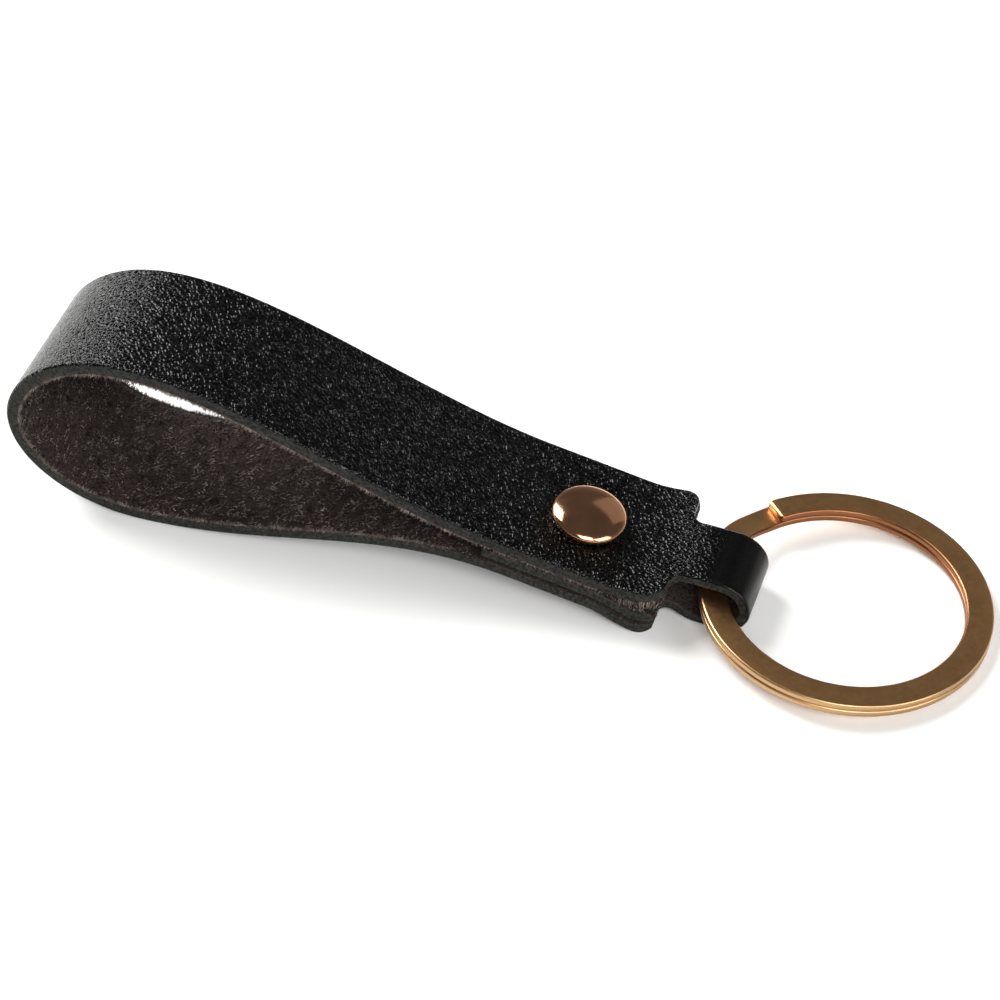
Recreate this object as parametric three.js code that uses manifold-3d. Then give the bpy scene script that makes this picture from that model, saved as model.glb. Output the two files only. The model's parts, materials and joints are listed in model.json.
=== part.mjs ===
// Leather keychain: one leather strip doubled into a finger loop, a double-cap rivet and a split ring.
// Millimetres, +Z up. The part lies on its back as on a table, X along the strap toward the ring.
// While it is built, the rivet's axis is at x = 0, the strap's middle at y = 0 and the table at z = 0.
import * as THREE from 'three';
import { mergeVertices } from 'three/addons/utils/BufferGeometryUtils.js';
import Module from 'manifold-3d';

const wasm = await Module();
wasm.setup();
const RAD = Math.PI / 180;

// Leather strip
const STRAP_WIDTH = 16;
const LEATHER = 1.4;
const LAYER_GAP = 0.15;
const NECK_WIDTH = 8;
const NECK_OFFSET = -0.45;
const TONGUE_LEATHER = 1.1;
const SKIVED_LEATHER = 1;
const CORNER_RADIUS = 1.8;
const NECK_FILLET = 1.4;

// Places along the strap, measured from the rivet
const FLAP_LENGTH = 9;
const CLAMP_BEFORE = 6;
const CLAMP_AFTER = 4.65;
const BACK_CLAMP_AFTER = 2.2;
const BACK_LANDING = 8.35;
const SHOULDER = 10.3;
const FLAP_SHOULDER = 9.3;
const END_SETBACK = 0.15;
const TONGUE_START = 13;
const FOLD_CENTRE = 15.6;
const TONGUE_SKEW = 0.08;

// Finger loop
const LOOP_HEIGHT = 20.9;
const LOOP_CREST = 46.6;
const LOOP_FOOT = 46.05;
const LOOP_END = 60.35;
const LOOP_WIDEST = 10.5;
const CREST_FULLNESS = 0.65;
const SIDE_FULLNESS = 0.42;
const LOWER_FULLNESS = 0.56;
const CREST_REACH = 12.3;
const FOOT_REACH = 15.15;
const UPPER_REACH = 14;
const LOWER_REACH = 14;
const TONGUE_REACH = 3;

// The three layers under the rivet
const STACK_HEIGHT = 4.81;
const STACK_TILT = 11.9 * RAD;

// Split ring, two turns of flat wire
const RING_DIAMETER = 30;
const WIRE_WIDTH = 2.8;
const WIRE_THICKNESS = 0.58;
const WIRE_EDGE = 0.2;
const TURN_GAP = 0.42;
const UPPER_END = 130 * RAD;
const LOWER_END = 170 * RAD;
const CROSSING_START = 158 * RAD;
const CROSSING_SPAN = 25 * RAD;
const RING_STEP = 5 * RAD;

// The ring in its eye
const EYE_CLEARANCE = 0.18;
const EYE_AXIS = 14.2;
const EYE_OFFSET = -0.6;
const RING_TURN = 7 * RAD;

// Double-cap rivet
const RIVET_OFFSET = -0.3;
const CAP_DIAMETER = 7.8;
const CAP_HEIGHT = 1.6;
const CAP_RIM = 0.45;
const CAP_WALL = 0.35;
const CAP_LIP = 0.95;
const RIVET_FIT = 0.1;
const RIVET_SEAT = 0.1;
const FLANGE_DIAMETER = 5.8;
const FLANGE_THICKNESS = 0.35;
const TUBE_DIAMETER = 3;
const TUBE_WALL = 0.3;
const POST_FIT = 0.15;
const POST_TIP = 0.4;
const HOLE_CLEARANCE = 0.2;
const ROUND_STEPS = 40;

// Finishes
const black = { color: 0x1e1f1c, roughness: 0.72, metalness: 0 };
const copper = { color: 0xb58a66, roughness: 0.24, metalness: 1 };
const bronze = { color: 0x9c7d5c, roughness: 0.38, metalness: 1 };

// Sizes that follow from the ones above
const stack = 1.5 * LEATHER + LAYER_GAP;
const ringOuter = RING_DIAMETER / 2;
const ringInner = ringOuter - WIRE_WIDTH;
const turnPitch = WIRE_THICKNESS + TURN_GAP;
const ringHeight = turnPitch + WIRE_THICKNESS;
const ringSag = ringInner - Math.sqrt(ringInner ** 2 - (NECK_WIDTH / 2) ** 2);
const ringPivot = (ringOuter + ringInner - ringSag) / 2;
const eyeRadius = Math.hypot((WIRE_WIDTH + ringSag) / 2, ringHeight / 2) + EYE_CLEARANCE;
const foldRadius = eyeRadius + TONGUE_LEATHER;
const ringTilt = Math.asin((foldRadius - ringHeight / 2) / (ringPivot + ringOuter));

function solid(geometry) {
  const bare = geometry.clone();
  bare.deleteAttribute('normal');
  bare.deleteAttribute('uv');
  const merged = mergeVertices(bare, 1e-4);
  const vertProperties = new Float32Array(merged.attributes.position.array);
  const triVerts = new Uint32Array(merged.index.array);
  return new wasm.Manifold(new wasm.Mesh({ numProp: 3, vertProperties, triVerts }));
}

function surface(body) {
  const mesh = body.getMesh();
  const geometry = new THREE.BufferGeometry();
  geometry.setAttribute('position', new THREE.BufferAttribute(mesh.vertProperties, 3));
  geometry.setIndex(new THREE.BufferAttribute(mesh.triVerts, 1));
  geometry.computeVertexNormals();
  return geometry;
}

function piece(name, geometry, finish) {
  const mesh = new THREE.Mesh(geometry, new THREE.MeshStandardMaterial(finish));
  mesh.name = name;
  return mesh;
}

function smooth(u) {
  return u * u * (3 - 2 * u);
}

function point(x, z) {
  return new THREE.Vector2(x, z);
}

// Turns a closed half-section (radius, height) about the Z axis
function revolve(section) {
  const outline = THREE.ShapeUtils.area(section) > 0 ? section : [...section].reverse();
  return new THREE.LatheGeometry(outline, ROUND_STEPS).rotateX(Math.PI / 2);
}

// One run of the strip's outer, grained face: points on a curve, with the leather's thickness there
function run(curve, steps, from, to) {
  const stations = [];
  for (let i = 0; i <= steps; i += 1) {
    const u = i / steps;
    const tangent = curve.getTangent(u);
    const inward = point(-tangent.y, tangent.x);
    stations.push({ at: curve.getPoint(u), inward, thick: THREE.MathUtils.lerp(from, to, smooth(u)) });
  }
  return stations;
}

// Curve that leaves a and reaches b with the given slopes, each over its own reach along X
function bend(a, reachA, slopeA, b, reachB, slopeB) {
  const handleA = point(a.x + reachA, a.y + reachA * slopeA);
  const handleB = point(b.x - reachB, b.y - reachB * slopeB);
  return new THREE.CubicBezierCurve(a, handleA, handleB, b);
}

// A point of the pressed stack: so far along it and so far off its middle
function onStack(x, off) {
  return point(x, STACK_HEIGHT - x * Math.tan(STACK_TILT) + off / Math.cos(STACK_TILT));
}

// Leather strip, seen from the side as the path of its grained face
const slope = -Math.tan(STACK_TILT);
const crest = point(-LOOP_CREST, LOOP_HEIGHT);
const widest = point(-LOOP_END, LOOP_WIDEST);
const lowest = point(-LOOP_FOOT, 0);
const topClampStart = onStack(-CLAMP_BEFORE, stack);
const topClampEnd = onStack(CLAMP_AFTER, stack);
const backClampStart = onStack(-CLAMP_BEFORE, -stack);
const backClampEnd = onStack(BACK_CLAMP_AFTER, -stack);
const flapStart = onStack(-FLAP_LENGTH, -stack);
const backLanding = point(BACK_LANDING, 0);
const backEnd = point(FLAP_SHOULDER - END_SETBACK, 0);
const backReach = (BACK_LANDING - BACK_CLAMP_AFTER) / 2.6;
const tongueBottom = point(TONGUE_START, 0);
const tongueTop = point(TONGUE_START, 2 * foldRadius);
const foldBottom = point(FOLD_CENTRE, 0);
const foldTop = point(FOLD_CENTRE, 2 * foldRadius);
const acrossCrest = CREST_FULLNESS * (LOOP_END - LOOP_CREST);
const acrossFoot = LOWER_FULLNESS * (LOOP_END - LOOP_FOOT);
const upward = SIDE_FULLNESS * (LOOP_HEIGHT - LOOP_WIDEST);
const downward = LOWER_FULLNESS * LOOP_WIDEST;

// The back layer bends down to the table and ends there, pared thin, under the shoulders
const backClamped = new THREE.LineCurve(backClampStart, backClampEnd);
const backTail = bend(backClampEnd, backReach, slope, backLanding, backReach, 0);
const backTailRun = [
  ...run(backTail, 14, LEATHER, LEATHER),
  ...run(new THREE.LineCurve(backLanding, backEnd), 6, LEATHER, SKIVED_LEATHER).slice(1),
];

// The flap lies on the back layer, then dips to the table as the tongue's lower half
function lyingOn(stations) {
  return stations.map(({ at, inward, thick }) => ({
    at: at.clone().addScaledVector(inward, thick + LAYER_GAP),
    inward,
    thick: LEATHER,
  }));
}
const flapClamped = run(new THREE.LineCurve(flapStart, backClampEnd), 6, LEATHER, LEATHER);
const flapRun = lyingOn([...flapClamped, ...backTailRun.slice(1)]);
const flapEnd = flapRun.at(-1).at;
const dip = (tongueBottom.x - flapEnd.x) / 3;

const loopUpper = new THREE.CubicBezierCurve(
  crest,
  point(crest.x - acrossCrest, crest.y),
  point(widest.x, widest.y + upward),
  widest,
);
const loopLower = new THREE.CubicBezierCurve(
  widest,
  point(widest.x, widest.y - downward),
  point(lowest.x - acrossFoot, lowest.y),
  lowest,
);
const fold = new THREE.EllipseCurve(
  FOLD_CENTRE, foldRadius, foldRadius, foldRadius, -Math.PI / 2, Math.PI / 2,
);
const topNeck = bend(tongueTop, -TONGUE_REACH, 0, topClampEnd, -TONGUE_REACH, slope);
const topClamped = new THREE.LineCurve(topClampEnd, topClampStart);
const topRise = bend(topClampStart, -UPPER_REACH, slope, crest, -CREST_REACH, 0);
const backRise = bend(lowest, FOOT_REACH, 0, backClampStart, LOWER_REACH, slope);

const stripRuns = [
  flapRun,
  run(bend(flapEnd, dip, 0, tongueBottom, dip, 0), 10, LEATHER, TONGUE_LEATHER),
  run(new THREE.LineCurve(tongueBottom, foldBottom), 2, TONGUE_LEATHER, TONGUE_LEATHER),
  run(fold, 28, TONGUE_LEATHER, TONGUE_LEATHER),
  run(new THREE.LineCurve(foldTop, tongueTop), 2, TONGUE_LEATHER, TONGUE_LEATHER),
  run(topNeck, 14, TONGUE_LEATHER, LEATHER),
  run(topClamped, 6, LEATHER, LEATHER),
  run(topRise, 24, LEATHER, LEATHER),
  run(loopUpper, 22, LEATHER, LEATHER),
  run(loopLower, 22, LEATHER, LEATHER),
  run(backRise, 24, LEATHER, LEATHER),
  run(backClamped, 6, LEATHER, LEATHER),
  backTailRun,
];
const strip = stripRuns.flatMap((stations, i) => (i === 0 ? stations : stations.slice(1)));
const grainFace = strip.map(({ at }) => at);
const fleshFace = strip.map(({ at, inward, thick }) => at.clone().addScaledVector(inward, thick));
const sideView = new THREE.Shape([...grainFace, ...fleshFace.reverse()]);
const stripBody = new THREE.ExtrudeGeometry(sideView, { depth: STRAP_WIDTH, bevelEnabled: false });
stripBody.rotateX(Math.PI / 2).translate(0, STRAP_WIDTH / 2, 0);

// What the cutting die takes away on one side of the neck, between two heights of the folded strip
function shoulderCut(side, shoulder, bottom, top) {
  const half = STRAP_WIDTH / 2;
  const neck = NECK_WIDTH / 2 + side * NECK_OFFSET;
  const past = FOLD_CENTRE + 2 * foldRadius;
  const plan = new THREE.Shape();
  plan.moveTo(shoulder - CORNER_RADIUS, half + CORNER_RADIUS);
  plan.lineTo(shoulder - CORNER_RADIUS, half);
  plan.absarc(shoulder - CORNER_RADIUS, half - CORNER_RADIUS, CORNER_RADIUS, Math.PI / 2, 0, true);
  plan.absarc(shoulder + NECK_FILLET, neck + NECK_FILLET, NECK_FILLET, Math.PI, 1.5 * Math.PI, false);
  plan.lineTo(past, neck);
  plan.lineTo(past, half + CORNER_RADIUS);
  const deep = { depth: top - bottom, bevelEnabled: false, curveSegments: 8 };
  const cut = new THREE.ExtrudeGeometry(plan, deep).translate(0, 0, bottom);
  return solid(side > 0 ? cut : cut.rotateX(Math.PI).translate(0, 0, bottom + top));
}
const betweenLayers = foldRadius + LEATHER / 2;
const shoulderCuts = [1, -1].flatMap((side) => [
  shoulderCut(side, SHOULDER, betweenLayers, LOOP_HEIGHT),
  shoulderCut(side, FLAP_SHOULDER, -LEATHER, betweenLayers + LAYER_GAP),
]);

const tubeRadius = TUBE_DIAMETER / 2;
const punch = new THREE.CylinderGeometry(
  tubeRadius + HOLE_CLEARANCE, tubeRadius + HOLE_CLEARANCE, 2 * stack + CAP_HEIGHT, ROUND_STEPS,
);
punch.rotateX(Math.PI / 2).rotateY(STACK_TILT).translate(0, RIVET_OFFSET, STACK_HEIGHT);
const cutStrip = shoulderCuts.reduce((body, cut) => body.subtract(cut), solid(stripBody));

// The ring has drawn the tongue askew
const strapBody = cutStrip.subtract(solid(punch)).warp((vertex) => {
  vertex[1] -= TONGUE_SKEW * Math.max(0, vertex[0] - SHOULDER);
});
const strap = piece('strap', surface(strapBody), black);

// Rivet cap: a drawn dome whose rim is rolled in under the flange that it grips
const capRadius = CAP_DIAMETER / 2;
const innerRadius = capRadius - CAP_WALL;
function quarterDome(radius, rise, clockwise) {
  const [from, to] = clockwise ? [Math.PI / 2, 0] : [0, Math.PI / 2];
  return new THREE.EllipseCurve(0, CAP_RIM, radius, rise, from, to, clockwise).getPoints(9);
}
function capSection() {
  const rolled = new THREE.EllipseCurve(
    capRadius - CAP_RIM, CAP_RIM, CAP_RIM, CAP_RIM, 0, -Math.PI / 2, true,
  );
  return [
    ...quarterDome(capRadius, CAP_HEIGHT - CAP_RIM, true),
    ...rolled.getPoints(4).slice(1),
    point(innerRadius - CAP_LIP, 0),
    point(innerRadius - CAP_LIP, CAP_WALL),
    point(innerRadius, CAP_WALL),
    ...quarterDome(innerRadius, CAP_HEIGHT - CAP_WALL - CAP_RIM, false),
  ];
}

const flangeRadius = FLANGE_DIAMETER / 2;
const boreRadius = tubeRadius - TUBE_WALL;
const postRadius = boreRadius - POST_FIT;
const capSeat = stack + RIVET_SEAT;
const flangeSeat = capSeat + CAP_WALL + RIVET_FIT;
const flangeTop = flangeSeat + FLANGE_THICKNESS;

// Flanged tube of the front half, open from end to end
const tubeSection = [
  point(boreRadius, flangeTop),
  point(flangeRadius, flangeTop),
  point(flangeRadius, flangeSeat),
  point(tubeRadius, flangeSeat),
  point(tubeRadius, RIVET_SEAT - stack),
  point(boreRadius, RIVET_SEAT - stack),
  point(boreRadius, flangeTop),
];

// Flanged post of the back half, pressed up into the tube
const postSection = [
  point(0, -flangeTop),
  point(flangeRadius, -flangeTop),
  point(flangeRadius, -flangeSeat),
  point(postRadius, -flangeSeat),
  point(postRadius, flangeSeat - POST_TIP),
  point(postRadius - POST_TIP, flangeSeat),
  point(0, flangeSeat),
];

const rivet = new THREE.Group();
rivet.position.set(0, RIVET_OFFSET, STACK_HEIGHT);
rivet.rotation.y = STACK_TILT;
const frontCap = piece('rivet_front_cap', revolve(capSection()), copper);
frontCap.position.z = capSeat;
const backCap = piece('rivet_back_cap', revolve(capSection()), copper);
backCap.position.z = -capSeat;
backCap.rotation.x = Math.PI;
const frontTube = piece('rivet_front_tube', revolve(tubeSection), copper);
const backPost = piece('rivet_back_post', revolve(postSection), copper);
rivet.add(frontCap, frontTube, backCap, backPost);

// Split ring: one flat wire from its upper end clockwise, down through the eye, to its lower end
const wireTravel = UPPER_END - LOWER_END + 4 * Math.PI;
const wireSteps = Math.round(wireTravel / RING_STEP);
const crossingTravel = UPPER_END - CROSSING_START + 2 * Math.PI;
const wireSection = [
  point(WIRE_WIDTH / 2, WIRE_EDGE - WIRE_THICKNESS / 2),
  point(WIRE_WIDTH / 2, WIRE_THICKNESS / 2 - WIRE_EDGE),
  point(WIRE_WIDTH / 2 - WIRE_EDGE, WIRE_THICKNESS / 2),
  point(WIRE_EDGE - WIRE_WIDTH / 2, WIRE_THICKNESS / 2),
  point(-WIRE_WIDTH / 2, WIRE_THICKNESS / 2 - WIRE_EDGE),
  point(-WIRE_WIDTH / 2, WIRE_EDGE - WIRE_THICKNESS / 2),
  point(WIRE_EDGE - WIRE_WIDTH / 2, -WIRE_THICKNESS / 2),
  point(WIRE_WIDTH / 2 - WIRE_EDGE, -WIRE_THICKNESS / 2),
];

function wireStation(step) {
  const travel = wireTravel * step / wireSteps;
  const angle = UPPER_END - travel;
  const crossed = THREE.MathUtils.clamp((travel - crossingTravel) / CROSSING_SPAN, 0, 1);
  const level = turnPitch * (0.5 - smooth(crossed));
  const middle = ringOuter - WIRE_WIDTH / 2;
  return wireSection.map((p) => new THREE.Vector3(
    (middle + p.x) * Math.cos(angle),
    (middle + p.x) * Math.sin(angle),
    level + p.y,
  ));
}

function sweptWire() {
  const sides = wireSection.length;
  const positions = [];
  const faces = [];
  for (let step = 0; step <= wireSteps; step += 1) {
    wireStation(step).forEach((p) => positions.push(p.x, p.y, p.z));
  }
  for (let step = 0; step < wireSteps; step += 1) {
    for (let side = 0; side < sides; side += 1) {
      const a = step * sides + side;
      const b = step * sides + (side + 1) % sides;
      faces.push(a, b, a + sides, b, b + sides, a + sides);
    }
  }
  const last = wireSteps * sides;
  for (let side = 1; side < sides - 1; side += 1) {
    faces.push(0, side + 1, side);
    faces.push(last, last + side, last + side + 1);
  }
  const geometry = new THREE.BufferGeometry();
  geometry.setAttribute('position', new THREE.Float32BufferAttribute(positions, 3));
  geometry.setIndex(faces);
  geometry.computeVertexNormals();
  return geometry;
}

// Least distance between points of the wire that lie more than half a turn apart along it
function leastTurnGap() {
  const stations = Array.from({ length: wireSteps + 1 }, (_, step) => wireStation(step));
  const halfTurn = Math.round(Math.PI / RING_STEP);
  let least = Infinity;
  stations.forEach((one, i) => {
    stations.slice(i + halfTurn).forEach((other) => {
      one.forEach((p) => other.forEach((q) => {
        least = Math.min(least, p.distanceTo(q));
      }));
    });
  });
  return least;
}
console.log(`split ring: least gap between its turns ${leastTurnGap().toFixed(3)} mm`);

// The ring swings on the eye's axis; at rest its far rim lies on the table
const splitRing = piece('split_ring', sweptWire(), bronze);
splitRing.position.x = ringPivot;
const swing = new THREE.Group();
swing.position.set(EYE_AXIS, EYE_OFFSET, foldRadius);
swing.rotation.set(0, ringTilt, RING_TURN, 'ZYX');
swing.add(splitRing);

// The origin is under the middle of the whole, on the table
const lying = new THREE.Group();
lying.add(strap, rivet, swing);
lying.updateMatrixWorld(true);
const extent = new THREE.Box3().setFromObject(lying, true);
const middle = extent.getCenter(new THREE.Vector3());
lying.position.set(-middle.x, -middle.y, -extent.min.z);

const keychain = new THREE.Group();
keychain.add(lying);

export default keychain;
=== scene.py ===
import json

import bpy
import numpy as np
from mathutils import Matrix, Vector


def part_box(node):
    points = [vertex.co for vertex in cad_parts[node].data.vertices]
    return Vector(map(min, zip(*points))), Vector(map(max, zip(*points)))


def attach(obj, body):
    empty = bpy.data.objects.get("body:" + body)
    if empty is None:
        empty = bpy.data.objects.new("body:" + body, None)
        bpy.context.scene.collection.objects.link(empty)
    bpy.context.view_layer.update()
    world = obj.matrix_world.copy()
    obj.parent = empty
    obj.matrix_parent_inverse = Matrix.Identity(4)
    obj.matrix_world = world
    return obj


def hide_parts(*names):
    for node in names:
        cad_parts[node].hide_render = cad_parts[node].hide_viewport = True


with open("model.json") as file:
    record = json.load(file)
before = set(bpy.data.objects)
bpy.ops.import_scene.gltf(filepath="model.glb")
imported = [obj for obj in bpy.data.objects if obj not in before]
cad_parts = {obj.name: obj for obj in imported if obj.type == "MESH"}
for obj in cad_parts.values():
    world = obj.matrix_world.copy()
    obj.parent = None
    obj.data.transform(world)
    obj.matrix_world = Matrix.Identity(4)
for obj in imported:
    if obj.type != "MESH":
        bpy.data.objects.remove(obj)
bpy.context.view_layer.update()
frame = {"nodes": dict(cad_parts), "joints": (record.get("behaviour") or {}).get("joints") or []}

# ---- Strap ----
# One die-cut strip of black pebbled cowhide. Its narrow neck is folded round the split ring, its
# length is doubled back into a finger loop, and the rivet presses its three layers together.
# The grain is outside everywhere; the suede back and the raw cut edges are left as the knife left them.
MM = 0.001
STRAP_WIDTH, NECK_WIDTH, NECK_OFFSET = 16.0, 8.0, -0.45
LEATHER, TONGUE_LEATHER, SKIVED_LEATHER, LAYER_GAP = 1.4, 1.1, 1.0, 0.15
CORNER_RADIUS, NECK_FILLET = 1.8, 1.4
FLAP_LENGTH, CLAMP_BEFORE, CLAMP_AFTER, BACK_CLAMP_AFTER, BACK_LANDING = 9.0, 6.0, 4.65, 2.2, 8.35
SHOULDER, FLAP_SHOULDER, END_SETBACK = 10.3, 9.3, 0.15
TONGUE_START, FOLD_CENTRE, FOLD_RADIUS, TONGUE_SKEW = 13.0, 15.6, 3.1884, 0.08
LOOP_HEIGHT, LOOP_CREST, LOOP_FOOT, LOOP_END, LOOP_WIDEST = 20.9, 46.6, 46.05, 60.35, 10.5
CREST_FULLNESS, SIDE_FULLNESS, LOWER_FULLNESS = 0.65, 0.42, 0.56
CREST_REACH, FOOT_REACH, UPPER_REACH, LOWER_REACH, TONGUE_REACH = 12.3, 15.15, 14.0, 14.0, 3.0
STACK_HEIGHT, STACK_TILT, RIVET_OFFSET = 4.81, np.radians(11.9), -0.3
GRAIN_ROUND, FLESH_ROUND = 0.34, 0.16
TAIL_EASE, FLAP_SIDE, TAIL_SIDE = 2.6, 30.0, 20.0
CURVE_STEPS, STATIONS, FACE_STEPS, ROUND_STEPS, SIDE_STEPS = 240, 680, 34, 7, 4
EDGE_STEPS = 2 * ROUND_STEPS + SIDE_STEPS

# The strap is laid out from the rivet, which is at the origin, and then set where the frame has it.
strap_low, strap_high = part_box("strap")
rivet_place = np.array([
    strap_high.x / MM - FOLD_CENTRE - FOLD_RADIUS,
    (strap_low.y + strap_high.y) / 2 / MM,
    0.0,
])
slope = -np.tan(STACK_TILT)
half_stack = 1.5 * LEATHER + LAYER_GAP


def at(x, z):
    """A point of the side view."""
    return np.array([x, z], float)


def on_stack(x, off):
    """A point of the pressed stack: so far along it, and so far off its tilted middle line."""
    return at(x, STACK_HEIGHT + x * slope + off / np.cos(STACK_TILT))


def curve(a, b, c, d):
    """Cubic curve: the mean of four points, weighted by (1-u)^3, 3u(1-u)^2, 3u^2(1-u) and u^3."""
    u = np.linspace(0, 1, CURVE_STEPS)[:, None]
    return (1 - u) ** 3 * a + 3 * u * (1 - u) ** 2 * b + 3 * u ** 2 * (1 - u) * c + u ** 3 * d


def straight(a, b):
    """Straight run: a cubic curve whose inner points lie on thirds of the line."""
    return curve(a, a + (b - a) / 3, b - (b - a) / 3, b)


def bend(a, reach_a, slope_a, b, reach_b, slope_b):
    """Curve that leaves a and reaches b with given slopes, each held over its own reach along X."""
    return curve(a, a + reach_a * at(1, slope_a), b - reach_b * at(1, slope_b), b)


def ease(u):
    """Smooth step from 0 to 1: 3u^2 - 2u^3, flat at both ends."""
    u = np.clip(u, 0, 1)
    return u * u * (3 - 2 * u)


def left_of(path):
    """Unit normals to the left of the travel along a path: its direction turned by a quarter turn."""
    way = np.gradient(path, axis=0)
    way /= np.linalg.norm(way, axis=1, keepdims=True)
    return np.stack([-way[:, 1], way[:, 0]], axis=1)


# The path of the grain side, seen from the side: each run is a curve and the leather's thickness along it.
# The flap lies on the tail's flesh, so its own grain line is the tail's, moved up by the leather between them.
crest, widest, lowest = at(-LOOP_CREST, LOOP_HEIGHT), at(-LOOP_END, LOOP_WIDEST), at(-LOOP_FOOT, 0)
top_start, top_end = on_stack(-CLAMP_BEFORE, half_stack), on_stack(CLAMP_AFTER, half_stack)
back_start, back_end = on_stack(-CLAMP_BEFORE, -half_stack), on_stack(BACK_CLAMP_AFTER, -half_stack)
landing, tail_end = at(BACK_LANDING, 0), at(FLAP_SHOULDER - END_SETBACK, 0)
tail_reach = (BACK_LANDING - BACK_CLAMP_AFTER) / TAIL_EASE
tail, tail_rest = bend(back_end, tail_reach, slope, landing, tail_reach, 0), straight(landing, tail_end)
pared = LEATHER + (SKIVED_LEATHER - LEATHER) * ease(np.linspace(0, 1, CURVE_STEPS))
under_flap = np.concatenate([straight(on_stack(-FLAP_LENGTH, -half_stack), back_end), tail[1:], tail_rest[1:]])
lift = np.concatenate([np.full(2 * CURVE_STEPS - 1, LEATHER), pared[1:]]) + LAYER_GAP
flap = under_flap + left_of(under_flap) * lift[:, None]
dip = (TONGUE_START - flap[-1, 0]) / 3
turn = np.linspace(-np.pi / 2, np.pi / 2, CURVE_STEPS)
fold = at(FOLD_CENTRE, FOLD_RADIUS) + FOLD_RADIUS * np.stack([np.cos(turn), np.sin(turn)], axis=1)
past_crest = at(CREST_FULLNESS * (LOOP_END - LOOP_CREST), 0)
past_foot = at(LOWER_FULLNESS * (LOOP_END - LOOP_FOOT), 0)
upward = at(0, SIDE_FULLNESS * (LOOP_HEIGHT - LOOP_WIDEST))
downward = at(0, LOWER_FULLNESS * LOOP_WIDEST)
thinning = LEATHER + (TONGUE_LEATHER - LEATHER) * ease(np.linspace(0, 1, CURVE_STEPS))
full, thin = np.full(CURVE_STEPS, LEATHER), np.full(CURVE_STEPS, TONGUE_LEATHER)
tongue_top = at(TONGUE_START, 2 * FOLD_RADIUS)
runs = [
    (flap, np.full(len(flap), LEATHER)),
    (bend(flap[-1], dip, 0, at(TONGUE_START, 0), dip, 0), thinning),
    (straight(at(TONGUE_START, 0), fold[0]), thin),
    (fold, thin),
    (straight(fold[-1], tongue_top), thin),
    (bend(tongue_top, -TONGUE_REACH, 0, top_end, -TONGUE_REACH, slope), thinning[::-1]),
    (straight(top_end, top_start), full),
    (bend(top_start, -UPPER_REACH, slope, crest, -CREST_REACH, 0), full),
    (curve(crest, crest - past_crest, widest + upward, widest), full),
    (curve(widest, widest - downward, lowest - past_foot, lowest), full),
    (bend(lowest, FOOT_REACH, 0, back_start, LOWER_REACH, slope), full),
    (straight(back_start, back_end), full),
    (tail, full),
    (tail_rest, pared),
]
path = np.concatenate([points for points, _ in runs])
thick = np.concatenate([values for _, values in runs])
apart = np.r_[True, np.hypot(*np.diff(path, axis=0).T) > 1e-6]
path, thick = path[apart], thick[apart]
length = np.r_[0, np.cumsum(np.hypot(*np.diff(path, axis=0).T))]
flap_end = np.hypot(*np.diff(flap, axis=0).T).sum()

# Stations along the strip, closer together where the die rounds the shoulders: their density is one plus a
# bell curve round each shoulder. Far and near are the strip's half widths on either side of its middle.
CROWDING, CROWD_REACH = 6, 1.1
near_an_end = (length < FLAP_SIDE) | (length > length[-1] - TAIL_SIDE)
shoulder = np.where(near_an_end, FLAP_SHOULDER, SHOULDER)
fineness = 1 + CROWDING * np.exp(-(((path[:, 0] - shoulder) / CROWD_REACH) ** 2))
share = np.r_[0, np.cumsum((fineness[1:] + fineness[:-1]) / 2 * np.diff(length))]
along = np.interp(np.linspace(0, share[-1], STATIONS), share, length)
line = np.stack([np.interp(along, length, path[:, 0]), np.interp(along, length, path[:, 1])], axis=1)
deep = np.interp(along, length, thick)
inward = left_of(line)
x = line[:, 0]
shoulder = np.interp(along, length, shoulder)
corner = STRAP_WIDTH / 2 - CORNER_RADIUS
rounded = corner + np.sqrt(np.clip(CORNER_RADIUS ** 2 - (x - shoulder + CORNER_RADIUS) ** 2, 0, None))
filleted = NECK_FILLET - np.sqrt(np.clip(NECK_FILLET ** 2 - (shoulder + NECK_FILLET - x) ** 2, 0, None))
far, near = (np.select(
    [x < shoulder - CORNER_RADIUS, x < shoulder, x < shoulder + NECK_FILLET],
    [STRAP_WIDTH / 2, rounded, neck + filleted],
    neck,
) for neck in (NECK_WIDTH / 2 + NECK_OFFSET, NECK_WIDTH / 2 - NECK_OFFSET))

# Places round the cut: grain face, rolled grain edge, raw side, flesh edge, then back along the flesh.
quarter = np.linspace(0, np.pi / 2, ROUND_STEPS)
side = np.linspace(0, 1, SIDE_STEPS + 2)[1:-1]
edge_out = np.r_[GRAIN_ROUND * np.sin(quarter), np.full(SIDE_STEPS, GRAIN_ROUND),
                 GRAIN_ROUND - FLESH_ROUND + FLESH_ROUND * np.cos(quarter)]
edge_share = np.r_[np.zeros(ROUND_STEPS), side, np.ones(ROUND_STEPS)]
edge_deep = np.r_[GRAIN_ROUND * (1 - np.cos(quarter)), GRAIN_ROUND + (-FLESH_ROUND - GRAIN_ROUND) * side,
                  -FLESH_ROUND + FLESH_ROUND * np.sin(quarter)]
across = np.linspace(-1, 1, FACE_STEPS + 1)[1:-1]
ways = np.r_[across, np.ones(EDGE_STEPS), across[::-1], -np.ones(EDGE_STEPS)]
out = np.r_[np.zeros(FACE_STEPS - 1), edge_out, np.zeros(FACE_STEPS - 1), -edge_out[::-1]]
deep_share = np.r_[np.zeros(FACE_STEPS - 1), edge_share, np.ones(FACE_STEPS - 1), edge_share[::-1]]
deep_more = np.r_[np.zeros(FACE_STEPS - 1), edge_deep, np.zeros(FACE_STEPS - 1), edge_deep[::-1]]
y = (far - near)[:, None] / 2 + ways * ((far + near)[:, None] / 2 - GRAIN_ROUND) + out
depth = deep_share * deep[:, None] + deep_more

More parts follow.
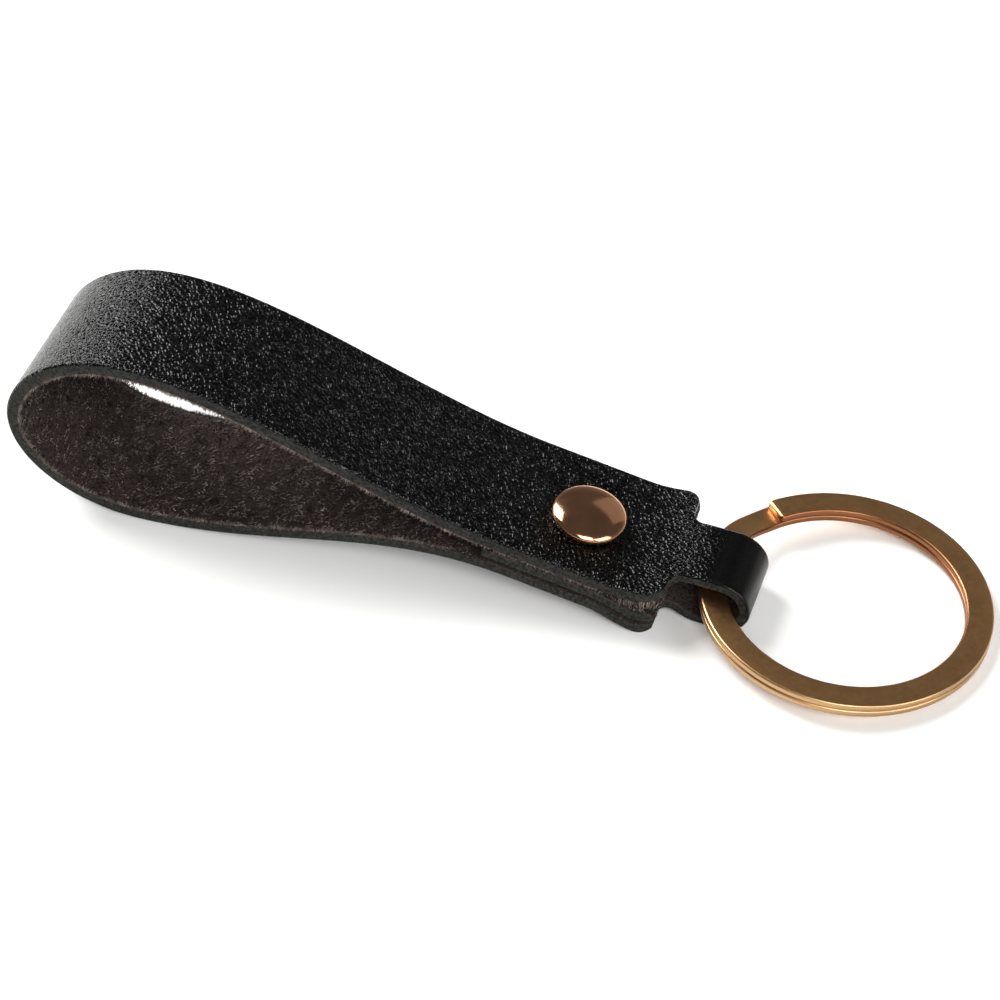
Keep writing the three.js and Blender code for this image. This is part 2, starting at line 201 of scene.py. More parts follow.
# The rivet draws the leather in round its caps: a shallow bowl, a bell curve of the way out from the cap's rim.
# The flap lies inside the stack and stays flat.
axis = np.array([np.sin(STACK_TILT), 0, np.cos(STACK_TILT)])
CAP_RADIUS, BOWL_DEPTH, BOWL_REACH, PAST_FLAP = 3.9, 0.16, 1.7, 12.0


def leather_at(sink):
    """The strip's surface: each station's point on the grain line, moved across and into the leather."""
    flat = line[:, None, :] + inward[:, None, :] * (depth + sink)[..., None]
    return np.stack([flat[..., 0], y, flat[..., 1]], axis=-1)


bare = leather_at(0 * depth) - np.array([0, RIVET_OFFSET, STACK_HEIGHT])
from_axis = np.sqrt(np.clip((bare ** 2).sum(-1) - (bare @ axis) ** 2, 0, None))
bowl = BOWL_DEPTH * np.exp(-((np.clip(from_axis - CAP_RADIUS, 0, None) / BOWL_REACH) ** 2))
bowl *= (1 - deep_share) * (along > flap_end + PAST_FLAP)[:, None]


def settle(points):
    """The ring has drawn the tongue askew: past the shoulder, y drops in proportion to the way along x."""
    skew = TONGUE_SKEW * np.clip(points[..., 0] - SHOULDER, 0, None)
    return points - np.stack([0 * skew, skew, 0 * skew], axis=-1)


strap_grid = settle(leather_at(bowl)) + rivet_place


def skin(name, grid):
    """Skin over a grid of stations by places round each: quads between neighbours, and a face on both ends."""
    index = np.arange(grid.shape[0] * grid.shape[1]).reshape(grid.shape[:2])
    beside = np.roll(index, -1, axis=1)
    quads = np.stack([index[:-1], beside[:-1], beside[1:], index[1:]], axis=-1).reshape(-1, 4)
    mesh = bpy.data.meshes.new(name)
    ends = [index[0, ::-1].tolist(), index[-1].tolist()]
    mesh.from_pydata((grid.reshape(-1, 3) * MM).tolist(), [], quads.tolist() + ends)
    mesh.shade_smooth()
    piece = bpy.data.objects.new(name, mesh)
    bpy.context.collection.objects.link(piece)
    return piece


def write_attribute(piece, name, values):
    """Keeps one number for each point of a piece, for its materials to read."""
    layer = piece.data.attributes.new(name, "FLOAT", "POINT")
    layer.data.foreach_set("value", np.ascontiguousarray(values, np.float32).ravel())


strap = skin("leather_strap", strap_grid)
write_attribute(strap, "depth", np.clip(depth / deep[:, None], 0, 1))
# The grain is stretched nearly smooth where the tongue is folded tight round the ring.
FOLD_LEAD, FOLD_FADE, GRAIN_LOSS, FLAP_REACH = 3.4, 3.0, 0.92, 20.0
on_fold = ease((x - FOLD_CENTRE + FOLD_LEAD) / FOLD_FADE) * (along > FLAP_REACH)
write_attribute(strap, "grain", np.repeat((1 - GRAIN_LOSS * on_fold)[:, None], depth.shape[1], axis=1))
# The finish of each place round the cut: the grain laps over its rolled edges, the rest of the sides is raw.
GRAIN, RAW, FLESH, GRAIN_LAP = 0, 1, 2, 5
place = np.r_[np.full(FACE_STEPS - 1, GRAIN), np.full(EDGE_STEPS, RAW),
              np.full(FACE_STEPS - 1, FLESH), np.full(EDGE_STEPS, RAW)]
place[FACE_STEPS - 1:FACE_STEPS - 1 + GRAIN_LAP] = GRAIN
place[-GRAIN_LAP - 1:] = GRAIN
finish_index = np.r_[np.tile(place, STATIONS - 1), RAW, RAW].astype(np.int32)


def tint(code):
    """Linear colour from an sRGB hex code: each channel c becomes ((c + 0.055) / 1.055)^2.4, or c / 12.92
    where it is darker than 0.04045."""
    c = np.array([int(code[i:i + 2], 16) for i in (1, 3, 5)]) / 255
    return (*np.where(c > 0.04045, ((c + 0.055) / 1.055) ** 2.4, c / 12.92).tolist(), 1.0)


def add(tree, kind, feeds, **settings):
    """Adds one node: settings are its own properties, feeds gives its inputs a value or a link each."""
    made = tree.nodes.new(kind)
    for name, value in settings.items():
        setattr(made, name, value)
    for socket, value in feeds.items():
        if isinstance(value, bpy.types.NodeSocket):
            tree.links.new(value, made.inputs[socket])
        else:
            made.inputs[socket].default_value = value
    return made


def material(name, **values):
    """A new material, its node tree and its surface shader with the values that are the same all over."""
    made = bpy.data.materials.new(name)
    made.use_nodes = True
    shader = made.node_tree.nodes["Principled BSDF"]
    for socket, value in values.items():
        shader.inputs[socket.replace("_", " ")].default_value = value
    return made, made.node_tree, shader


# Pebbled cowhide, plated with a small grain and dyed black: flat pebbles half a millimetre across with narrow
# creases between them. It is near black, with a short glint along each crease that faces the light, and on the
# fold the pebbles are drawn out smooth.
grained, tree, shader = material("pebbled_cowhide_black", Specular_IOR_Level=0.2, IOR=1.5)
PEBBLE, PORE, WANDER, SHAKE, DYE_PATCH = 0.49, 0.16, 0.6, 0.4, 7
GRAIN_RELIEF, PORE_SHARE, FOLD_SATIN = 0.07, 0.2, 0.18
spot = add(tree, "ShaderNodeTexCoord", {})
wander = add(tree, "ShaderNodeTexNoise", {"Vector": spot.outputs["Object"], "Scale": 1 / (WANDER * MM),
                                          "Detail": 2.0})
shaken = add(tree, "ShaderNodeVectorMath", {0: wander.outputs["Color"], 1: (SHAKE * MM,) * 3,
                                            2: spot.outputs["Object"]}, operation="MULTIPLY_ADD")
pebble = add(tree, "ShaderNodeTexVoronoi", {"Vector": shaken.outputs[0], "Scale": 1 / (PEBBLE * MM)},
             feature="DISTANCE_TO_EDGE")
pore = add(tree, "ShaderNodeTexNoise", {"Vector": spot.outputs["Object"], "Scale": 1 / (PORE * MM),
                                        "Detail": 1.0})
dome = add(tree, "ShaderNodeMapRange", {"Value": pebble.outputs["Distance"], "From Min": 0.0, "From Max": 0.32,
                                        "To Min": 0.0, "To Max": 1.0},
           interpolation_type="SMOOTHSTEP")
height = add(tree, "ShaderNodeMath", {0: pore.outputs["Fac"], 1: PORE_SHARE, 2: dome.outputs["Result"]},
             operation="MULTIPLY_ADD")
stretch = add(tree, "ShaderNodeAttribute", {}, attribute_name="grain")
relief = add(tree, "ShaderNodeMath", {0: height.outputs[0], 1: stretch.outputs["Fac"]}, operation="MULTIPLY")
bump = add(tree, "ShaderNodeBump", {"Strength": 1.0, "Distance": GRAIN_RELIEF * MM,
                                    "Height": relief.outputs[0]})
dye = add(tree, "ShaderNodeTexNoise", {"Vector": spot.outputs["Object"], "Scale": 1 / (DYE_PATCH * MM),
                                       "Detail": 3.0})
shade = add(tree, "ShaderNodeMix", {0: dye.outputs["Fac"], 6: tint("#020302"), 7: tint("#050605")},
            data_type="RGBA")
# Painted shade: the creases between the pebbles are painted darker than the pebbles' tops.
crease = add(tree, "ShaderNodeMix", {0: dome.outputs["Result"], 6: tint("#010101"), 7: shade.outputs[2]},
             data_type="RGBA")
dull = add(tree, "ShaderNodeMapRange", {"Value": pore.outputs["Fac"], "From Min": 0.3, "From Max": 0.7,
                                        "To Min": 0.11, "To Max": 0.18})
slack = add(tree, "ShaderNodeMath", {0: stretch.outputs["Fac"], 1: -FOLD_SATIN, 2: FOLD_SATIN},
            operation="MULTIPLY_ADD")
satin = add(tree, "ShaderNodeMath", {0: dull.outputs["Result"], 1: slack.outputs[0]}, operation="ADD")
tree.links.new(crease.outputs[2], shader.inputs["Base Color"])
tree.links.new(satin.outputs[0], shader.inputs["Roughness"])
tree.links.new(bump.outputs["Normal"], shader.inputs["Normal"])

# Raw cut edge: packed fibres dyed through to a dark olive grey, matt and blotchy, browner towards the flesh.
raw, tree, shader = material("cut_leather_edge", Specular_IOR_Level=0.25, Roughness=0.88)
FIBRE, FIBRE_RELIEF, RAGGEDNESS = 0.35, 0.25, 0.9
spot = add(tree, "ShaderNodeTexCoord", {})
fibre = add(tree, "ShaderNodeTexNoise", {"Vector": spot.outputs["Object"], "Scale": 1 / (FIBRE * MM),
                                         "Detail": 3.0, "Roughness": 0.65})
level = add(tree, "ShaderNodeAttribute", {}, attribute_name="depth")
blotch = add(tree, "ShaderNodeMapRange", {"Value": fibre.outputs["Fac"], "From Min": 0.36, "From Max": 0.66})
base = add(tree, "ShaderNodeMix", {0: blotch.outputs["Result"], 6: tint("#0c0c0b"), 7: tint("#32322d")},
           data_type="RGBA")
ragged = add(tree, "ShaderNodeMath", {0: fibre.outputs["Fac"], 1: RAGGEDNESS, 2: level.outputs["Fac"]},
             operation="MULTIPLY_ADD")
fuzz = add(tree, "ShaderNodeMapRange", {"Value": ragged.outputs[0], "From Min": 1.2, "From Max": 1.6})
edge = add(tree, "ShaderNodeMix", {0: fuzz.outputs["Result"], 6: base.outputs[2], 7: tint("#3d342e")},
           data_type="RGBA")
bump = add(tree, "ShaderNodeBump", {"Strength": 1.0, "Distance": FIBRE_RELIEF * MM,
                                    "Height": fibre.outputs["Fac"]})
tree.links.new(edge.outputs[2], shader.inputs["Base Color"])
tree.links.new(bump.outputs["Normal"], shader.inputs["Normal"])

# Suede flesh side: the mat of short fibres under the nap, dark brown where the dye is thin, with no gloss.
# Its fibre pattern is painted darker in its hollows and lighter on its tops: painted shade and light.
suede, tree, shader = material("suede_flesh_side", Specular_IOR_Level=0.15, Roughness=1.0)
NAP, NAP_RELIEF, WORN_PATCH = 0.3, 0.25, 3
spot = add(tree, "ShaderNodeTexCoord", {})
hair = add(tree, "ShaderNodeTexNoise", {"Vector": spot.outputs["Object"], "Scale": 1 / (NAP * MM),
                                        "Detail": 3.0, "Roughness": 0.7})
patch = add(tree, "ShaderNodeTexNoise", {"Vector": spot.outputs["Object"], "Scale": 1 / (WORN_PATCH * MM),
                                         "Detail": 3.0})
worn = add(tree, "ShaderNodeMix", {0: patch.outputs["Fac"], 6: tint("#2e2625"), 7: tint("#504440")},
           data_type="RGBA")
# Painted shade: where the fibre pattern that raises the bump dips, the colour falls to near black brown.
painted_nap_shade = add(tree, "ShaderNodeMapRange", {"Value": hair.outputs["Fac"], "From Min": 0.35, "From Max": 0.68})
nap = add(tree, "ShaderNodeMix", {0: painted_nap_shade.outputs["Result"], 6: tint("#1c1615"), 7: worn.outputs[2]},
          data_type="RGBA")
bump = add(tree, "ShaderNodeBump", {"Strength": 1.0, "Distance": NAP_RELIEF * MM,
                                    "Height": hair.outputs["Fac"]})
tree.links.new(nap.outputs[2], shader.inputs["Base Color"])
tree.links.new(bump.outputs["Normal"], shader.inputs["Normal"])

for finish in (grained, raw, suede):
    strap.data.materials.append(finish)
strap.data.polygons.foreach_set("material_index", finish_index)
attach(strap, "strap")
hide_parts("strap")

# ---- Nap ----
# The flesh side's loose fibres, brushed up into tufts where the leather stands open, and the ragged ones
# that the knife left along its borders. A real fibre is too fine to show, so each strand is a lock of them.
STRAND, STRAND_POINTS, WAIST_UP, WAIST_ASIDE, WAIST_WIDTH = 0.17, 7, 0.55, 0.35, 0.7
LOOP_ENTRY, LOOP_EXIT = 2.5, 3.5
scatter = np.random.default_rng(11)
run_ends = np.cumsum([np.hypot(*np.diff(points, axis=0).T).sum() for points, _ in runs])
neck_top, stack_from, stack_to, loop_foot = run_ends[[4, 5, 6, 10]]
loop_from, loop_to = stack_to + LOOP_ENTRY, loop_foot - LOOP_EXIT


def strands(name, s, y, depth, aim_out, sway, long, wide, tone):
    """Locks of fibre on the strip at lengths s and places y: each is a three-sided root, a thinner waist near
    half its length and a point. It leans from straight up by aim_out towards Y, and its point is drawn aside
    by sway, a pair of ways along the strip and across it."""
    def look(values):
        return np.interp(s, along, values)
    none = 0 * s
    into = np.stack([look(inward[:, 0]), none, look(inward[:, 1])], axis=1)
    into /= np.linalg.norm(into, axis=1, keepdims=True)
    way = np.stack([into[:, 2], none, -into[:, 0]], axis=1)
    beside = np.array([0.0, 1.0, 0.0])
    aim = into * np.cos(aim_out)[:, None] + beside * np.sin(aim_out)[:, None]
    root = np.stack([look(line[:, 0]), y, look(line[:, 1])], axis=1) + into * (look(deep) + depth)[:, None]
    drawn = way * sway[:, :1] + beside * sway[:, 1:]
    turn = np.arange(3) * 2 * np.pi / 3 + scatter.uniform(0, 6, len(s))[:, None]
    ring = np.cos(turn)[..., None] * way[:, None] + np.sin(turn)[..., None] * np.cross(aim, way)[:, None]
    ring *= wide[:, None, None] / 2
    waist = root + aim * long[:, None] * WAIST_UP + drawn * WAIST_ASIDE
    tip = root + aim * long[:, None] + drawn
    grid = np.concatenate([root[:, None] + ring, waist[:, None] + WAIST_WIDTH * ring, tip[:, None]], axis=1)
    first = np.arange(len(s))[:, None, None] * STRAND_POINTS
    sides = np.array([[0, 1, 4, 3], [1, 2, 5, 4], [2, 0, 3, 5]]) + first
    caps = np.array([[3, 4, 6], [4, 5, 6], [5, 3, 6], [0, 2, 1]]) + first
    mesh = bpy.data.meshes.new(name)
    mesh.from_pydata(((settle(grid) + rivet_place) * MM).reshape(-1, 3).tolist(), [],
                     sides.reshape(-1, 4).tolist() + caps.reshape(-1, 3).tolist())
    piece = bpy.data.objects.new(name, mesh)
    bpy.context.collection.objects.link(piece)
    write_attribute(piece, "tone", np.repeat(tone, STRAND_POINTS))
    write_attribute(piece, "tip", np.tile([0, 0, 0, 0.5, 0.5, 0.5, 1], len(s)))
    return piece


# Nap: in the loop, and in the mouth between the flap and the top layer at the shoulders.
LOOP_STRANDS, MOUTH_STRANDS = 15000, 2000
MOUTH_DEPTH, MOUTH_LIP, NECK_FREE = 4.5, 0.3, 3.6
s = np.r_[scatter.uniform(loop_from, loop_to, LOOP_STRANDS),
          scatter.uniform(flap_end - MOUTH_DEPTH, flap_end - MOUTH_LIP, MOUTH_STRANDS),
          scatter.uniform(neck_top + NECK_FREE, stack_from, MOUTH_STRANDS)]
half = (np.interp(s, along, far) + np.interp(s, along, near)) / 2 - FLESH_ROUND
y = (np.interp(s, along, far) - np.interp(s, along, near)) / 2 + scatter.uniform(-1, 1, len(s)) * half
# Strands of one tuft lean to its heart. The tufts are cells of a grid with shaken hearts, each with a tone of
# its own, and all are combed a little towards the flap and the near border.
TUFT, TUFT_ROWS, TUFT_COLUMNS, TUFT_BLUR = np.array([0.55, 1.5]), 600, 60, 0.15
HEART_SHAKE, PULL, STRAY, COMBED = 0.35, 0.35, 0.06, np.array([0.1, 0.4])
around = np.stack([s, y + STRAP_WIDTH], axis=1) + scatter.normal(0, TUFT_BLUR, (len(s), 2))
cell = np.floor(around / TUFT).astype(int)
tufts = scatter.uniform(-1, 1, (TUFT_ROWS, TUFT_COLUMNS, 3))
tuft = tufts[cell[:, 0] % TUFT_ROWS, cell[:, 1] % TUFT_COLUMNS]
heart = (cell + 0.5 + HEART_SHAKE * tuft[:, :2]) * TUFT - np.array([0, STRAP_WIDTH])
sway = PULL * (heart - np.stack([s, y], axis=1)) + scatter.normal(0, STRAY, (len(s), 2)) - COMBED
# A hand has brushed the nap into paler and darker streaks: a wave along the strip, cut by one across it.
streak = np.sin(1.9 * s + 2.6 * np.sin(0.8 * y + 0.31 * s)) * np.sin(0.6 * y + 2.2 * np.sin(0.47 * s))
NAP_TONE, TUFT_TONE, STREAK_TONE, STRAY_TONE, MOUTH_TONE = 0.55, 0.34, 0.32, 0.05, 0.12
in_mouth = s < loop_from
tone = NAP_TONE + TUFT_TONE * tuft[:, 2] + STREAK_TONE * streak + scatter.normal(0, STRAY_TONE, len(s))
tone = tone + np.where(in_mouth, MOUTH_TONE, 0)
NAP_SINK, NAP_LEAN, NAP_LENGTH, NAP_WIDTH, MOUTH_LENGTH = 0.05, 0.25, (0.22, 0.45), (0.7, 1.2), 2
lean = scatter.normal(0, NAP_LEAN, len(s))
long = scatter.uniform(*NAP_LENGTH, len(s)) * np.where(in_mouth, MOUTH_LENGTH, 1)
wide = STRAND * scatter.uniform(*NAP_WIDTH, len(s))
nap_piece = strands("suede_nap", s, y, np.full(len(s), -NAP_SINK), lean, sway, long, wide, tone)

# Fringe: along both borders of the flesh, longest in the loop, and none where the ring runs. It is pale in
# the loop and on the top layer, partly as paler raw fibre and partly as painted light shining through the
# fibres, and dark with dye elsewhere.
FRINGE_STRANDS, RING_ROOM, FRINGE_INSET, FRINGE_SINK, OPENING, SEAM_PAST = 12000, 9.0, 0.1, 0.08, 6, 4
s = scatter.uniform(0, along[-1], FRINGE_STRANDS)
s = s[np.interp(s, along, x) < RING_ROOM]
way_out = np.where(scatter.uniform(0, 1, len(s)) < 0.5, -1, 1)
y = np.where(way_out > 0, np.interp(s, along, far), -np.interp(s, along, near)) - way_out * FRINGE_INSET
open_there = ease((s - loop_from) / OPENING) * ease((loop_to - s) / OPENING)
ragged = 0.5 + 0.5 * np.sin(s * 2.1 + 5 * way_out) * np.sin(s * 0.73 + way_out)
seam = ((s > stack_from) & (s < loop_from + SEAM_PAST)) * (1 - open_there)
CUT_LENGTH, OPEN_LENGTH, SEAM_LENGTH, LENGTH_SPREAD = 0.12, 0.3, 0.1, (0.5, 1.2)
FRINGE_LEAN, FRINGE_SWAY, FRINGE_WIDTH = (-0.5, 1.0), 0.14, (0.6, 1.1)
DYED_TONE, PALE_AND_BACKLIT_TONE, RAGGED_TONE, TONE_SPREAD = 0.1, 0.28, 0.46, 0.1
long = CUT_LENGTH + OPEN_LENGTH * open_there * (0.4 + 0.6 * ragged) + SEAM_LENGTH * seam
long = long * scatter.uniform(*LENGTH_SPREAD, len(s))
lean = way_out * scatter.uniform(*FRINGE_LEAN, len(s))
sway = scatter.normal(0, FRINGE_SWAY, (len(s), 2))
wide = STRAND * scatter.uniform(*FRINGE_WIDTH, len(s))
# The pale tone where the loop stands open and along the seam is partly painted light: fibres lit through from
# behind.
tone = DYED_TONE + (PALE_AND_BACKLIT_TONE + RAGGED_TONE * ragged) * (open_there + seam)
tone = tone + scatter.normal(0, TONE_SPREAD, len(s))
fringe = strands("edge_fringe", s, y, np.full(len(s), -FRINGE_SINK), lean, sway, long, wide, tone)

# Loose leather fibre, dyed brown black at the root and paler towards its broken tip, matt all over.
fluff, tree, shader = material("loose_leather_fibre", Specular_IOR_Level=0.1, Roughness=1.0)
TIP_TONE = 0.1
# The tone carries the fibres' own shade and, on the fringe in the open loop, painted light through the fibres.
shade = add(tree, "ShaderNodeAttribute", {}, attribute_name="tone")
point = add(tree, "ShaderNodeAttribute", {}, attribute_name="tip")
paler = add(tree, "ShaderNodeMath", {0: point.outputs["Fac"], 1: TIP_TONE, 2: shade.outputs["Fac"]},
            operation="MULTIPLY_ADD")
pale = add(tree, "ShaderNodeMapRange", {"Value": paler.outputs[0], "From Min": 0.2, "From Max": 1.3})
colour = add(tree, "ShaderNodeMix", {0: pale.outputs["Result"], 6: tint("#1c1614"), 7: tint("#94877f")},
             data_type="RGBA")
tree.links.new(colour.outputs[2], shader.inputs["Base Color"])
for piece in (nap_piece, fringe):
    piece.data.materials.append(fluff)
    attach(piece, "strap")

# ---- Rivet ----
# Double-cap rivet: two thin copper-plated domes, each drawn from sheet and rolled over a flange. The tube
# and post between them are pressed together through the leather, and both rims sink into the grain.
CAP_TOP, CAP_RIM, RIM_SINK, CAP_LIFT, POLE, HOLLOW = 3.95, 0.45, 0.2, 0.1, 0.03, 0.5
CAP_SEAT = half_stack + CAP_LIFT
DOME_STEPS, RIM_STEPS, ROUND = 26, 8, 128


def rivet_cap(name, way):
    """Dome turned about the rivet's axis: a flat ellipse over a rolled quarter-round rim, sunk in the leather.
    It is closed by a tiny face at the pole and by one underneath."""
    rise = np.linspace(0.0, np.pi / 2, DOME_STEPS)
    roll = np.linspace(0, np.pi / 2, RIM_STEPS)[1:]
    radius = np.r_[POLE, CAP_RADIUS * np.sin(rise[1:]), CAP_RADIUS - CAP_RIM + CAP_RIM * np.cos(roll), HOLLOW]
    level = np.r_[CAP_TOP, CAP_SEAT + CAP_RIM + (CAP_TOP - CAP_SEAT - CAP_RIM) * np.cos(rise[1:]),
                  CAP_SEAT + CAP_RIM - (CAP_RIM + RIM_SINK) * np.sin(roll), CAP_SEAT - RIM_SINK]
    angle = np.linspace(0, 2 * np.pi, ROUND, endpoint=False) * way
    round_x, round_y = radius[:, None] * np.cos(angle), radius[:, None] * np.sin(angle)
    up = np.repeat(way * level[:, None], ROUND, axis=1)
    tilted = np.stack([
        round_x * axis[2] + up * axis[0],
        round_y,
        up * axis[2] - round_x * axis[0],
    ], axis=-1)
    return skin(name, tilted[:, ::-1] + rivet_place + np.array([0, RIVET_OFFSET, STACK_HEIGHT]))


# Copper plating over drawn brass, polished: clear reflections, a trace of haze and fine handling marks.
copper, tree, shader = material("polished_copper_plating", Metallic=1.0)
HAZE, MARK, MARK_RELIEF = 1.6, 0.25, 0.02
spot = add(tree, "ShaderNodeTexCoord", {})
haze = add(tree, "ShaderNodeTexNoise", {"Vector": spot.outputs["Object"], "Scale": 1 / (HAZE * MM),
                                        "Detail": 4.0})
mark = add(tree, "ShaderNodeTexNoise", {"Vector": spot.outputs["Object"], "Scale": 1 / (MARK * MM),
                                        "Detail": 2.0})
tone = add(tree, "ShaderNodeMix", {0: haze.outputs["Fac"], 6: tint("#c9916a"), 7: tint("#dba680")},
           data_type="RGBA")
gloss = add(tree, "ShaderNodeMapRange", {"Value": haze.outputs["Fac"], "From Min": 0.3, "From Max": 0.7,
                                         "To Min": 0.1, "To Max": 0.17})
bump = add(tree, "ShaderNodeBump", {"Strength": 0.12, "Distance": MARK_RELIEF * MM,
                                    "Height": mark.outputs["Fac"]})
tree.links.new(tone.outputs[2], shader.inputs["Base Color"])
tree.links.new(gloss.outputs["Result"], shader.inputs["Roughness"])
tree.links.new(bump.outputs["Normal"], shader.inputs["Normal"])

for name, way, node in (("rivet_dome_front", 1, "rivet_front_cap"), ("rivet_dome_back", -1, "rivet_back_cap")):
    dome = rivet_cap(name, way)
    dome.data.materials.append(copper)
    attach(dome, "strap")
    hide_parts(node)
for node in ("rivet_front_tube", "rivet_back_post"):
    frame["nodes"][node].data.materials.clear()
    frame["nodes"][node].data.materials.append(copper)

# ---- Split ring ----
# Flat steel wire wound into two turns that spring shut on each other, plated in antique bronze.
# The plating is darkened on the flat faces and rubbed bright along the rounded edges of the wire.
RING_RADIUS, WIRE_WIDTH, WIRE_THICKNESS, TURN_GAP, WIRE_ROUND = 15.0, 2.8, 0.77, 0.04, 0.25
UPPER_END, LOWER_END, CROSSING_START, CROSSING_SPAN = np.radians([130.0, 170.0, 158.0, 25.0])
RING_TILT, RING_TURN, RING_PIVOT = np.radians(4.868), np.radians(7.0), 13.2628
swing = next(joint for joint in frame["joints"] if joint["name"] == "ring_swing")
eye = np.array(swing["pos_m"]) / MM

# The wire is a flat section with four rounded corners, carried along a circle of almost two turns. It drops by
# one turn's height at the crossing, and the ring is then leaned, turned and set in the tongue's eye.
WIRE_STATIONS, CORNER_STEPS, END_BEVEL, END_LOSS, RUB = 430, 7, 0.35, 0.16, 0.3
travel = np.linspace(0, UPPER_END - LOWER_END + 4 * np.pi, WIRE_STATIONS)
crossed = ease((travel - (UPPER_END - CROSSING_START + 2 * np.pi)) / CROSSING_SPAN)
level = (WIRE_THICKNESS + TURN_GAP) * (0.5 - crossed)
bearing = UPPER_END - travel
corner_turn = np.linspace(0, np.pi / 2, CORNER_STEPS)
start = np.repeat(np.arange(4), CORNER_STEPS) * np.pi / 2
spin = start + np.tile(corner_turn, 4)
flat_x = WIRE_WIDTH / 2 - WIRE_ROUND
flat_z = WIRE_THICKNESS / 2 - WIRE_ROUND
section_x = flat_x * np.sign(np.cos(start + np.pi / 4)) + WIRE_ROUND * np.cos(spin)
section_z = flat_z * np.sign(np.sin(start + np.pi / 4)) + WIRE_ROUND * np.sin(spin)
# The wire's sheared ends are broken by a small bevel.
end_gap = np.minimum(travel, travel[-1] - travel) * RING_RADIUS
trim = 1 - END_LOSS * (1 - np.clip(end_gap / END_BEVEL, 0, 1)) ** 2
reach = RING_RADIUS - WIRE_WIDTH / 2 + section_x * trim[:, None]
ring = np.stack([
    reach * np.cos(bearing)[:, None] + RING_PIVOT,
    reach * np.sin(bearing)[:, None],
    level[:, None] + section_z * trim[:, None],
], axis=-1)
lean = np.array(Matrix.Rotation(RING_TURN, 3, "Z") @ Matrix.Rotation(RING_TILT, 3, "Y"))
split_ring = skin("split_ring_wire", (ring @ lean.T + eye)[:, ::-1])
rubbed = section_x > flat_x + RUB * WIRE_ROUND
inside = section_x < -flat_x - RUB * WIRE_ROUND
for name, there in (("rubbed", rubbed), ("inside", inside)):
    write_attribute(split_ring, name, np.repeat(there[None, ::-1], len(travel), axis=0))

# Antique bronze plating, tumbled: satin, brown on the faces, light and warm where the outer edges are rubbed,
# and still dark and red inside the ring.
bronze, tree, shader = material("antique_bronze_plating", Metallic=1.0)
TARNISH, TUMBLE, TUMBLE_RELIEF = 2.2, 0.4, 0.02
spot = add(tree, "ShaderNodeTexCoord", {})
tarnish = add(tree, "ShaderNodeTexNoise", {"Vector": spot.outputs["Object"], "Scale": 1 / (TARNISH * MM),
                                           "Detail": 4.0})
tumble = add(tree, "ShaderNodeTexNoise", {"Vector": spot.outputs["Object"], "Scale": 1 / (TUMBLE * MM),
                                          "Detail": 1.0})
wear = add(tree, "ShaderNodeAttribute", {}, attribute_name="rubbed")
brown = add(tree, "ShaderNodeMix", {0: tarnish.outputs["Fac"], 6: tint("#bc8c5a"), 7: tint("#d2a26f")},
            data_type="RGBA")
face = add(tree, "ShaderNodeMix", {0: wear.outputs["Fac"], 6: brown.outputs[2], 7: tint("#b8946c")},
           data_type="RGBA")
kept = add(tree, "ShaderNodeAttribute", {}, attribute_name="inside")
tone = add(tree, "ShaderNodeMix", {0: kept.outputs["Fac"], 6: face.outputs[2], 7: tint("#85573a")},
           data_type="RGBA")
gloss = add(tree, "ShaderNodeMapRange", {"Value": tumble.outputs["Fac"], "From Min": 0.3, "From Max": 0.7,
                                         "To Min": 0.31, "To Max": 0.36})
bump = add(tree, "ShaderNodeBump", {"Strength": 0.05, "Distance": TUMBLE_RELIEF * MM,
                                    "Height": tumble.outputs["Fac"]})
tree.links.new(tone.outputs[2], shader.inputs["Base Color"])
tree.links.new(gloss.outputs["Result"], shader.inputs["Roughness"])
tree.links.new(bump.outputs["Normal"], shader.inputs["Normal"])
split_ring.data.materials.append(bronze)
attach(split_ring, "ring")
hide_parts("split_ring")

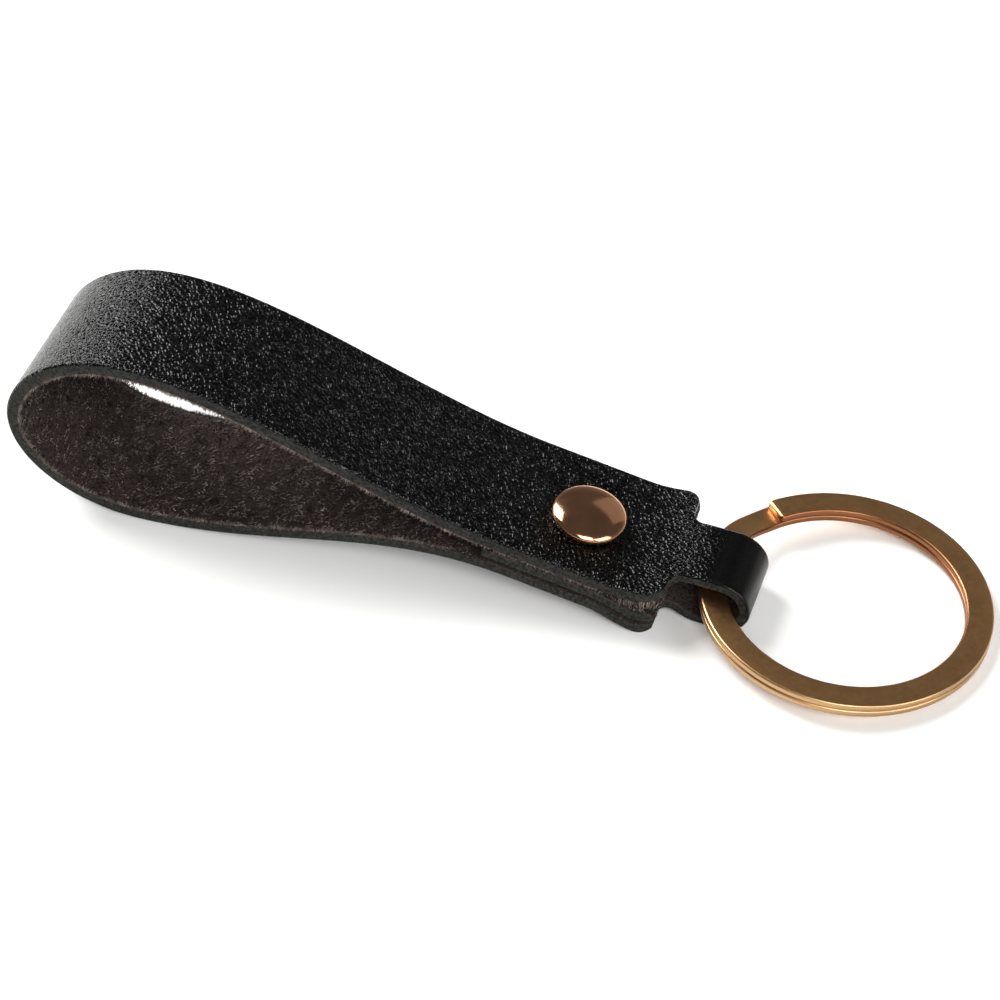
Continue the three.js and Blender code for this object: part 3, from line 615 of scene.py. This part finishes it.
# ---- Table, light and camera ----
# A plain white table in a dim room that is darker overhead: a tall window on the left, a lamp on the right,
# a soft fill from the front, and a pale strip of wall behind that the polished rivet mirrors.
TABLE_REACH, TABLE_DROP = 3, 5e-5
table_mesh = bpy.data.meshes.new("table")
quadrants = ((-1, -1), (1, -1), (1, 1), (-1, 1))
table_corners = [(TABLE_REACH * i, TABLE_REACH * j, -TABLE_DROP) for i, j in quadrants]
table_mesh.from_pydata(table_corners, [], [(0, 1, 2, 3)])
table = bpy.data.objects.new("table", table_mesh)
bpy.context.collection.objects.link(table)
white, tree, shader = material("white_table", Base_Color=tint("#f4f4f2"), Roughness=0.9, Specular_IOR_Level=0.2)
table_mesh.materials.append(white)

room = bpy.data.worlds.new("room")
room.use_nodes = True
tree = room.node_tree
compass = add(tree, "ShaderNodeTexCoord", {})
heading = add(tree, "ShaderNodeSeparateXYZ", {0: compass.outputs["Generated"]})
glow = add(tree, "ShaderNodeMapRange", {"Value": heading.outputs["Z"], "From Min": 0.0, "From Max": 0.5,
                                        "To Min": 0.25, "To Max": 0.1}, interpolation_type="SMOOTHSTEP")
tree.nodes["Background"].inputs["Color"].default_value = tint("#ffffff")
tree.links.new(glow.outputs["Result"], tree.nodes["Background"].inputs["Strength"])
bpy.context.scene.world = room

for name, spot_at, size, power in (
    ("window_left", (-0.72, 0.28, 0.66), (0.5, 0.8), 17.5),
    ("lamp_right", (0.90, -0.35, 0.50), (0.65, 0.5), 6.0),
    ("fill_front", (0.52, -1.05, 1.05), (0.75, 0.8), 16.5),
    ("pale_wall_behind", (0.70, 1.57, 0.69), (1.0, 1.4), 1.1),
):
    lamp = bpy.data.lights.new(name, "AREA")
    lamp.shape, lamp.size, lamp.size_y, lamp.energy = "RECTANGLE", *size, power
    light = bpy.data.objects.new(name, lamp)
    light.location = spot_at
    light.rotation_euler = Vector(spot_at).to_track_quat("Z", "Y").to_euler()
    bpy.context.collection.objects.link(light)

# The camera stands where a perspective fit to the ring, the rivet and the strap's edges puts it.
lens = bpy.data.cameras.new("camera")
lens.sensor_width, lens.lens, lens.clip_start = 36.0, 115.73, 0.01
camera = bpy.data.objects.new("camera", lens)
right, up, back = (0.95049, 0.31075, -0.00323), (-0.21162, 0.65481, 0.72556), (0.22758, -0.68895, 0.68815)
FROM_RIVET = np.array([65.8853, -227.1063, 233.306])
stand = Vector((rivet_place + FROM_RIVET) * MM)
camera.matrix_world = Matrix.Translation(stand) @ Matrix((right, up, back)).transposed().to_4x4()
bpy.context.collection.objects.link(camera)
bpy.context.scene.camera = camera
bpy.context.scene.view_settings.view_transform = "Standard"
